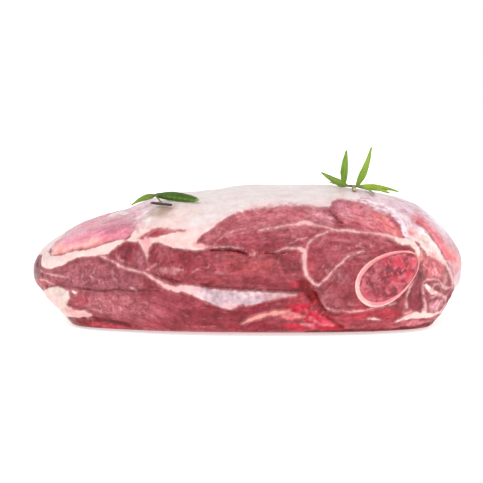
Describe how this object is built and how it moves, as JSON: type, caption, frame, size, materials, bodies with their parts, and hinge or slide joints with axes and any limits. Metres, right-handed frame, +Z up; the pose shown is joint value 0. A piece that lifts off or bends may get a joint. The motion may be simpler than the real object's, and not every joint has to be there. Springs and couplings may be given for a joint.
{
  "type": "raw lamb shoulder",
  "caption": "Bone-in raw lamb shoulder lying fat side up, its cut face showing muscles, fat seams and a sawn bone, with rosemary sprigs on top.",
  "frame": {"origin": "middle of the bounding box at the underside, on the surface it rests on", "axes": "+X along the joint, from its thin left tip to the thick end with the bone; -Y out of the cut face; +Z up through the fat cap"},
  "size_m": [0.28, 0.1506, 0.1099],
  "materials": {
    "meat": "moist raw red muscle with pale seams under a matte white fat cap",
    "bone": "sawn cream-pink bone, moist",
    "marrow": "spongy dark red marrow, wet",
    "rosemary": "fresh green needle leaves, satin"
  },
  "bodies": {
    "root": {"shoulder_meat": "meat", "arm_bone": "bone", "marrow": "marrow", "rosemary_sprig_left": "rosemary", "rosemary_sprig_right": "rosemary"}
  },
  "joints": []
}
